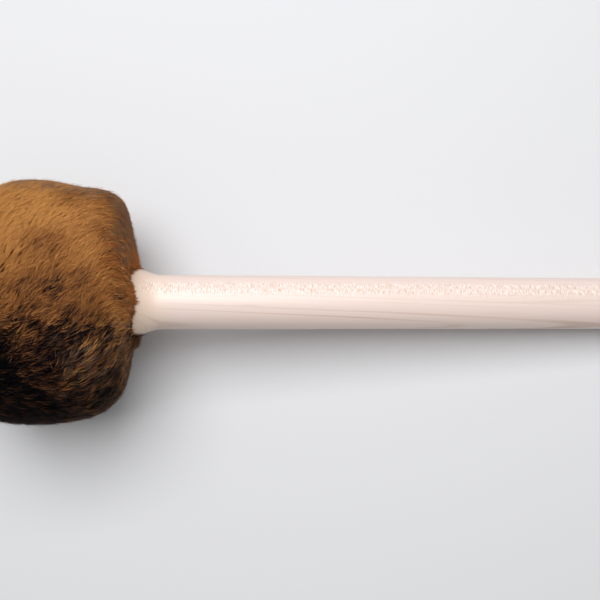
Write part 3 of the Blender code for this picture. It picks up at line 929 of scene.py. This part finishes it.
# Under tan fur the hide is painted a pale tan so the gaps between locks show lighter: painted light in their
# shade.
hide_with_painted_gap_light = mixed(tree, stepped(tree, tone, 0.25, 1.0, 0, 0.9), fibres["Color"], paint(160, 110, 62))
dressed(tree, shader, hide_with_painted_gap_light, fibres["Height"], 0.0002)

shell = np.vstack((shells[0], shells[1][::-1]))
skin = new_piece("fur_hide", *around(shell), hide, "fur", "fur_cover", sharp=50)
places = np.empty(len(skin.data.vertices) * 3, np.float32)
skin.data.vertices.foreach_get("co", places)
tones = pelt_tone_and_shade(places.reshape(-1, 3).astype(float))
skin.data.attributes.new("tone", "FLOAT", "POINT").data.foreach_set("value", tones.astype(np.float32))

# %% [markdown]
# ## Where the locks grow
# Real fur has far too many hairs to model, but hairs cling together in fine locks, and the eye sees the
# locks. Their roots should be even but not in rows. Seeds at equal steps of area, each turned on by the
# golden angle, spread like the seeds of a sunflower, and a small random push hides the spirals.

# %% Lock roots
LOCKS = 25000
GOLDEN_ANGLE = math.pi * (3 - math.sqrt(5))
random = np.random.default_rng(7)

LAST_LEAN = 1.40
table_lean = np.linspace(-math.pi / 2, LAST_LEAN, 6001)
table_z, table_r = head_outline(table_lean, SKIN_DEPTH)
strip_area = math.pi * (table_r[1:] + table_r[:-1]) * np.hypot(np.diff(table_z), np.diff(table_r))
table_area = np.concatenate(([0], np.cumsum(strip_area)))
seeds = np.arange(LOCKS) + 0.5
spacing = math.sqrt(table_area[-1] / LOCKS)
lean = np.interp(seeds / LOCKS * table_area[-1], table_area, table_lean)
lean = lean + random.normal(0, 0.25 * spacing, LOCKS) / SHOULDER_RADIUS * 0.5
lean = np.clip(lean, -math.pi / 2, LAST_LEAN)
root_radius = np.interp(lean, table_lean, table_r)
phi = seeds * GOLDEN_ANGLE + random.normal(0, 0.25 * spacing, LOCKS) / np.maximum(root_radius, 0.003)
print(f"{LOCKS} locks, one to every {1000 * spacing:.2f} mm")

# %% [markdown]
# ## Which way the fur lies
# All the hairs of a place lean one way, the nap. On this head they lie slantwise over the top, more along
# the mallet on the dark side, and at the back they turn in towards the handle, where the cover was drawn
# shut. The nap is a slanting line in space with its part along the surface's normal taken out, mixed with
# the way to the handle. Smooth random turns of it part the fur and close it again.


# %% Nap
def frame_at(lean, phi):
    """Two unit vectors at a place: out of the surface, and along it towards the handle."""
    outward = np.cos(phi)[:, None] * ABOVE + np.sin(phi)[:, None] * ASIDE
    normal = np.sin(lean)[:, None] * ALONG + np.cos(lean)[:, None] * outward
    back = np.cos(lean)[:, None] * ALONG - np.sin(lean)[:, None] * outward
    return normal, back


def unit(vectors):
    """Vectors at length 1."""
    return vectors / np.maximum(np.linalg.norm(vectors, axis=-1, keepdims=True), 1e-9)


def nap_at(points, lean, phi):
    """The nap: a slanting direction laid into the surface, which gives way to the direction of the handle."""
    normal, back = frame_at(lean, phi)
    z = off_mallet(points)[0]
    dark = -np.sin(phi)
    less = 18 * smooth_step(dark, -0.25, 0.12) * (1 - smooth_step(z, 0.006, 0.022))
    less = less + 26 * smooth_step(dark, 0.40, 0.95) * (1 - smooth_step(z, 0.0, 0.013))
    slant = np.radians(47 - less)
    line = np.stack((np.cos(slant), np.sin(slant), 0 * slant), axis=1)
    laid = unit(line - (line * normal).sum(axis=1)[:, None] * normal)
    upper = smooth_step(np.sin(phi), 0.4, 0.9)
    drawn_in = smooth_step(lean + 0.6 * upper, 0.5, 1.2)[:, None]
    nap = unit((1 - drawn_in) * laid + drawn_in * back)
    curl = 0.04 + 0.10 * smooth_step(dark, -0.2, 0.3) * (1 - 0.5 * smooth_step(z, 0.010, 0.030))
    turn = (0.12 * ripple(points, 0.016, 31) + curl * ripple(points, 0.005, 32)) * (1 - 0.5 * drawn_in[:, 0])
    across = np.cross(normal, nap)
    return np.cos(turn)[:, None] * nap + np.sin(turn)[:, None] * across


roots = surface_point(lean, phi, skin_depth(lean))
normal = frame_at(lean, phi)[0]
nap = nap_at(roots, lean, phi)
print("mean nap over the head:", np.round(nap.mean(axis=0), 2))

# %% [markdown]
# ## Keeping a lock on the head
# A straight lock would leave the round head. settle() takes any point back to a wanted depth below the tips:
# it finds the nearest place on the outline and moves the point along the normal there. It also keeps hairs
# off the wood and presses the ones below flat on the ground.

# %% Settling
GROUND_GAP = 0.00025
WOOD_GAP = 0.0003


def settle(points, depth):
    """Points moved along the surface's normal to lie at a depth.

    Where that is inside the wood, a point slides on along it by nine tenths of the way it went too far, and
    where it is below the ground, it rises to it.
    """
    z, r, phi = off_mallet(points)
    lean = lean_at(z, r)
    z, _ = head_outline(lean, 0)
    z, r = head_outline(lean, depth + hollow(z, phi))
    r = r + side_fullness(lean, phi)
    too_far = np.where(z > 0, np.maximum(wood_radius(z) + WOOD_GAP - r, 0), 0)
    z = z + 0.9 * too_far
    r = np.where(too_far > 0, wood_radius(z) + WOOD_GAP + 0.3 * too_far, r)
    settled = on_mallet(z, r, phi)
    settled[..., 2] = np.maximum(settled[..., 2], GROUND_GAP + 0.1 * np.clip(depth, 0, 0.004))
    return settled


# %% [markdown]
# ## Hairs of a lock
# A lock is a handful of tapered strands that stand apart at the root and lean together at the tip, which
# gives fur its fine streaks with dark gaps between. Each strand is a closed three-sided spike: it rises
# steeply from the skin, bends over and runs along the nap. Some are short underfur with one bend, the rest
# longer guard hairs with two. At the back, beside the wood, a tuft stands out at the -Y side. Locks gather
# as well: where a smooth random field rises, tips move up its slope, so that they heap up on its ridges and
# leave the valleys open. The field is averaged along the nap, so its ridges run with it. The tan side is
# combed smooth and gathers less, and low at the back the fur is roughest.

# %% Gathering
GATHER_WAVE = 0.0028
root_tone = pelt_tone_and_shade(roots)
dark_side = 1 - root_tone
across = np.cross(normal, nap)
z, r, way_round = off_mallet(roots)
rough = smooth_step(-np.sin(way_round), 0.0, 0.4) * smooth_step(z, 0.0, 0.024)


def ridges(length):
    """The height of a ripple averaged along the nap, and its slope across.

    Averaging leaves exp(-(the wave's part along the nap * length)^2 / 2) of each wave, and the sum is brought
    back to spread 1.
    """
    way, phase = waves(GATHER_WAVE, 43, 240)
    left = np.exp(-(((nap @ way.T) * length[:, None]) ** 2) / 2)
    left /= np.sqrt((left**2).sum(axis=1, keepdims=True) / 2)
    angle = roots @ way.T + phase
    return (left * np.sin(angle)).sum(axis=1), (left * np.cos(angle) * (across @ way.T)).sum(axis=1)


combed = np.maximum(1 - dark_side, smooth_step(z, -0.004, 0.016))
ridge, slope = ridges(0.0008 + 0.0010 * combed + 0.0006 * rough)
gather = 1.3 * (0.03 + 0.97 * dark_side + 0.5 * rough) * slope * (GATHER_WAVE / (2 * math.pi)) ** 2
print("tips move sideways by up to", round(1000 * float(np.abs(gather).max()), 2), "mm")


# %% Strand centre lines
def lock_strands(count, stations, rise, seed, length, spread):
    """Centre lines (locks * count, stations, 3) of count strands for each lock.

    At a station t from 0 to 1 a strand lies length * t along its own way, the nap turned a little, plus its
    offset at the root, which shrinks as the tips come together, plus the lock's gathering. Its depth falls
    from the skin's to nearly 0 as rise says, and less in the valleys. A stray strand stands out further, and
    so does the tuft.
    """
    random = np.random.default_rng(seed)
    pick = np.repeat(np.arange(LOCKS), count)
    total = len(pick)
    dark = dark_side[pick]
    angle = random.uniform(0, 2 * math.pi, total)
    reach = spacing * 0.65 * np.sqrt(random.uniform(0, 1, total))
    offset = np.cos(angle)[:, None] * nap[pick] + np.sin(angle)[:, None] * across[pick]
    own_length = length[pick] * random.uniform(0.7, 1.15, total)
    turn = random.normal(0, 0.11, LOCKS)[pick] + random.normal(0, 0.18, total)
    turn *= 0.8 + 0.2 * dark
    stray = np.where(random.uniform(0, 1, total) < 0.08, random.uniform(0, 1, total), 0)
    uneven = 0.15 + 0.85 * dark
    tip_depth = random.normal(0, 0.00025, total) - 0.0003 * ridge[pick].clip(-1.5, 1.5)
    tuft = 0.0028 * bell(phi, -1.42, 0.30) * smooth_step(lean, 1.23, 1.33)
    tip_depth = 0.0001 + 0.0004 * dark + uneven * tip_depth - 0.0012 * stray - tuft[pick]
    root_depth = skin_depth(lean)[pick] + 0.0002
    line = np.empty((total, len(stations), 3))
    for step, t in enumerate(stations):
        apart = (reach * (1 - spread * (0.3 + 0.7 * dark) * t))[:, None] * offset
        side = (own_length * turn * t * (0.4 + 0.6 * t) + gather[pick] * t)[:, None] * across[pick]
        flat = roots[pick] + apart + side + (own_length * t)[:, None] * nap[pick]
        depth = root_depth * (1 - rise[step]) + tip_depth * rise[step]
        line[:, step] = settle(flat, depth)
    return pick, line


# %% Strand meshes
FLATNESS = 0.35


def spikes(line, width):
    """Points (n, m, 3) of closed spikes round centre lines (n, stations, 3), and the faces that each one has.

    Every station but the last holds three points, one above the line and two low beside it, and the last is
    the tip. width (n, stations - 1) is how far they stand from the line.
    """
    count, stations = line.shape[:2]
    along = unit(np.gradient(line, axis=1))[:, :-1]
    z, r, phi = off_mallet(line[:, :-1])
    lean = lean_at(z, r)
    out = frame_at(lean.ravel(), phi.ravel())[0].reshape(along.shape)
    across = unit(np.cross(along, out))
    up = np.cross(across, along)
    rings = []
    for angle in np.radians((90, 210, 330)):
        arm = math.cos(angle) * across + FLATNESS * math.sin(angle) * up
        rings.append(line[:, :-1] + width[..., None] * arm)
    rings = np.stack(rings, axis=2).reshape(count, -1, 3)
    points = np.concatenate((rings, line[:, -1:]), axis=1)
    side = np.arange(3)
    after = np.roll(side, -1)
    faces = [(0, 2, 1, 1)]
    for ring in range(stations - 2):
        low, high = 3 * ring, 3 * ring + 3
        faces.extend(np.stack((low + side, low + after, high + after, high + side), axis=1))
    low, tip = 3 * (stations - 2), 3 * (stations - 1)
    faces.extend(np.stack((low + side, low + after, tip + 0 * side, tip + 0 * side), axis=1))
    return points, np.array(faces)


# %% [markdown]
# ## One chart for the fur's colours
# All the fur shares one material, and its UV map is a chart. Across it go the tones: dark brown to tan up to
# 0.6, rust from 0.66 to 0.8, and grey-brown from 0.84 to 1. Up it goes the way from root to tip. A strand is
# a narrow upright strip of the chart, so each has a colour of its own, darker at the root: partly the
# hair's own colour and partly painted shade down among the locks.

# %% Fur material
fur, tree, shader = new_material("fur", 0.6, specular=0.05)
chart_axes = axes_of(tree, own_chart(tree))
ramp = add_node(tree, "ValToRGB", {0: chart_axes[0]})
CHART = [
    (0.00, (2, 3, 9)),
    (0.06, (13, 11, 14)),
    (0.12, (33, 23, 22)),
    (0.25, (99, 63, 40)),
    (0.42, (153, 98, 53)),
    (0.60, (203, 145, 81)),
    (0.66, (84, 49, 29)),
    (0.80, (187, 117, 62)),
    (0.84, (40, 32, 30)),
    (1.00, (146, 113, 88)),
]
stops = ramp.color_ramp.elements
for place_on_chart, colour in CHART[2:]:
    stops.new(place_on_chart)
for stop, (place_on_chart, colour) in zip(stops, CHART):
    stop.position = place_on_chart
    stop.color = paint(*colour)
# Darker roots: partly the hairs' own colour, partly painted shade down among the locks.
root_shade = stepped(tree, chart_axes[1], 0.0, 0.55, 0.3, 1.0)
tree.links.new(mixed(tree, 1.0, ramp.outputs[0], root_shade, "MULTIPLY"), shader.inputs["Base Color"])


# %% Tones of the strands
side = np.sin(way_round)
by_handle = smooth_step(-r, -0.036, -0.022) * (z > 0) * smooth_step(side, -0.7, 0.0)
over_back = smooth_step(z, 0.024, 0.034) * smooth_step(side, -0.4, 0.0)
beside = bell(way_round, math.radians(24), math.radians(12)) * hump(z, 0.033, 0.005)
rust = np.max((by_handle, 0.4 * over_back, 0.8 * beside), axis=0)
# Grey-brown locks behind the shoulder on the +Y side, where the head turns away from the lamp: painted shade.
shoulder = smooth_step(lean, 0.6, 0.9) * (1 - smooth_step(lean, 1.2, 1.45)) * smooth_step(side, 0.38, 0.6)
shoulder *= 1 + 0.7 * smooth_step(side, 0.7, 0.95)
low_back = rough * smooth_step(-side, 0.1, 0.5)
# Grey-brown locks along the +Y edge: painted shade on the tips there.
painted_shade_tan_rim = smooth_step(side, 0.80, 0.95) * smooth_step(z, -0.019, -0.012) * (z < 0.03)
grey = np.max((shoulder, 1.2 * low_back, 1.5 * painted_shade_tan_rim), axis=0)
family = np.random.default_rng(51).uniform(0, 1, LOCKS)
print(f"rust locks: {(family > 1 - rust).sum()}, grey-brown ones: {(family < 0.4 * grey).sum()}")


def strand_columns(pick, darker, seed):
    """Each strand's column on the chart.

    Its tone is the place's, lighter on a ridge and darker in a valley of the gathered fur, which is painted
    light and shade, with a random part that is small on the tan side and large on the dark one. Its lock says
    whether it takes the plain colours, the rust or the grey-brown ones.
    """
    random = np.random.default_rng(seed)
    contrast = 0.40 * dark_side**1.4 * (0.42 + 0.58 * smooth_step(root_tone, 0.0, 0.25))
    contrast = contrast + 0.03 + 0.06 * rust + 0.08 * smooth_step(lean, 0.9, 1.2)
    contrast = contrast + (0.08 + 0.10 * smooth_step(lean, 0.4, 0.9)) * rough
    own = random.normal(0, 1, LOCKS)[pick] * (0.5 + 0.5 * rough[pick])
    own = (own + random.normal(0, 1, len(pick)) * (0.85 - 0.45 * rough[pick])).clip(-1.7, 1.7)
    own = own + rough[pick] * (1.2 * np.tanh(2 * own) - own)
    # Strands on a ridge are lighter and those in a valley darker: painted light and shade.
    own = own + ((0.3 + 0.2 * dark_side + 0.5 * rough) * ridge)[pick]
    mean = root_tone - 0.06 * rough - darker * (0.4 + 0.6 * dark_side + 1.5 * rough)
    tone = np.clip(mean[pick] + contrast[pick] * own, 0, 1)
    column = 0.01 + 0.58 * tone
    column = np.where(family[pick] < 0.4 * grey[pick], 0.85 + 0.14 * tone, column)
    return np.where(family[pick] > 1 - rust[pick], 0.67 + 0.12 * tone, column)


# %% [markdown]
# ## How long the fur is
# The pile is short and even on the tan side and longer where it is dark. A lock at the neck is only as long
# as its way to the hem and a little more, and that little more varies round the neck, so that the edge is
# ragged, with a tuft standing out on each side of the wood.

# %% Lengths
length = 0.0054 + 0.0030 * dark_side + 0.0005 * ripple(roots, 0.007, 61)
tufts = 0.0032 * bell(phi, -1.5, 0.24) + 0.0024 * bell(phi, 0.03, 0.10) + 0.0030 * bell(phi, 1.5, 0.16)
overhang = 0.0006 + 0.0006 * ripple(roots, 0.004, 62) + tufts - 0.0012 * bell(phi, PLEAT_AT, 0.3)
to_wood = np.where(z > 0.03, r - wood_radius(z) + overhang, 1.0)
length = np.clip(np.minimum(length, to_wood), 0.0009, None)
print(f"locks are {1000 * length.min():.1f} to {1000 * length.max():.1f} mm long")

# %% [markdown]
# ## The fur in pieces
# A million faces in one mesh are slow to handle, so the coat is cut into sectors, each an object of its own.
# A strand's points take their column on the chart from its tone and their height from the station.

# %% Kinds of strand
def grow(count, reach, spread, half_width, thicker, darker, seed, stations):
    """One kind of strand on every lock: each strand's lock, line, half widths and column, and all heights.

    A strand is reach times as long as its lock, and darker is taken from its tone. A station says how far
    along the strand it is, how far it has risen, its share of the half width and its height on the chart.
    """
    along, rise, shares, heights = np.array(stations).T
    pick, line = lock_strands(count, along, rise, seed, length * reach, spread)
    random = np.random.default_rng(seed + 2)
    width = half_width * random.uniform(0.8, 1.25, (len(line), 1)) * shares[:-1]
    width *= np.broadcast_to(thicker, LOCKS)[pick, None]
    return pick, line, width, strand_columns(pick, darker, seed + 4), heights


underfur = grow(
    count=2,
    reach=0.85,
    spread=0.55,
    half_width=0.00029,
    thicker=1.0,
    darker=0.1,
    seed=71,
    stations=[(0, 0, 0.9, 0.02), (0.5, 0.75, 0.8, 0.55), (1, 1, 0, 0.98)],
)
guard_hairs = grow(
    count=3,
    reach=1.0,
    spread=0.8,
    half_width=0.00013,
    thicker=0.75 + 0.25 * dark_side + 0.4 * rough,
    darker=0.0,
    seed=72,
    stations=[(0, 0, 0.8, 0.02), (0.32, 0.6, 1.0, 0.4), (0.68, 0.92, 0.7, 0.75), (1, 1, 0, 0.98)],
)
print(len(underfur[0]), "strands of underfur and", len(guard_hairs[0]), "guard hairs")


# %% Build the coat
def strand_arrays(here, pick, line, width, column, heights):
    """Points, quads and chart corners of the strands that are here, ready to join.

    A strand's lowest height on the chart is its paleness, because pale fur lets more light down to its roots.
    """
    points, faces = spikes(line[here], width[here])
    count, each = points.shape[:2]
    quads = faces + (np.arange(count) * each)[:, None, None]
    across = np.append(np.tile((-0.004, 0.004, 0.0), len(heights) - 1), 0)
    up = np.append(np.repeat(heights[:-1], 3), heights[-1])
    up[1] += 0.01
    paleness = 0.6 * root_tone[pick[here], None]
    spots = np.stack((column[here, None] + across, paleness + (1 - paleness) * up), axis=-1)
    chart = spots.reshape(-1, 2)[quads.reshape(-1)]
    return points.reshape(-1, 3), quads.reshape(-1, 4), chart.reshape(-1, 4, 2)


other_side = np.sin(phi) <= 0
sixth = (phi % (2 * math.pi) / (2 * math.pi) * 6).astype(int)
sector = np.where(lean < -0.75, 0 + other_side, np.where(lean > 0.95, 2 + other_side, 4 + sixth))
SECTORS = ["front_left", "front_right", "back_left", "back_right"] + [f"crown_{n}" for n in range(1, 7)]
for number, title in enumerate(SECTORS):
    under, guard = (strand_arrays(sector[kind[0]] == number, *kind) for kind in (underfur, guard_hairs))
    points = np.vstack((under[0], guard[0]))
    quads = np.vstack((under[1], guard[1] + len(under[0])))
    chart = np.vstack((under[2], guard[2]))
    new_piece(f"fur_{title}", points, quads, fur, "fur", chart=chart, sharp=90)

# %% [markdown]
# ## Floor, light and camera
# The mallet lies on a plain pale floor. A large soft lamp stands high above it at the picture's upper left,
# and the pale sky fills the shadows. The camera looks straight down from close by, which is why the head
# looks larger than the shaft.

# %% Floor
floor_data = bpy.data.meshes.new("floor")
FLOOR_HALF = 2.0
floor_corners = [(FLOOR_HALF * x, FLOOR_HALF * y, 0) for x, y in ((-1, -1), (1, -1), (1, 1), (-1, 1))]
floor_data.from_pydata(floor_corners, [], [(0, 1, 2, 3)])
floor = in_scene("floor", floor_data)
pale_floor, tree, shader = new_material("pale_floor", 0.9, specular=0.1)
shader.inputs["Base Color"].default_value = paint(220, 221, 224)
floor_data.materials.append(pale_floor)

# %% Sky
world = bpy.data.worlds.new("soft_sky")
world.use_nodes = True
sky = world.node_tree
background = sky.nodes["Background"]
background.inputs["Color"].default_value = paint(245, 243, 240)
background.inputs["Strength"].default_value = 0.31
bpy.context.scene.world = world

# %% Lamp
lamp_data = bpy.data.lights.new("window", "AREA")
lamp_data.size = 0.7
lamp_data.energy = 11.8
lamp = in_scene("window", lamp_data)
lamp.location = (-0.11, 0.38, 1.0)
lamp.rotation_euler = (Vector((-0.05, 0, 0)) - lamp.location).to_track_quat("-Z", "Y").to_euler()

# %% Camera
FOCAL_PIXELS, PICTURE_WIDTH = 716, 600
camera_data = bpy.data.cameras.new("camera")
camera_data.sensor_width = 36
camera_data.lens = camera_data.sensor_width * FOCAL_PIXELS / PICTURE_WIDTH
camera_data.clip_start = 0.01
camera = in_scene("camera", camera_data)
camera.location = (-0.0301, 0.0012, 0.3756)
camera.rotation_euler = (0, 0, math.radians(0.22))
bpy.context.scene.camera = camera
bpy.context.scene.view_settings.view_transform = "Standard"
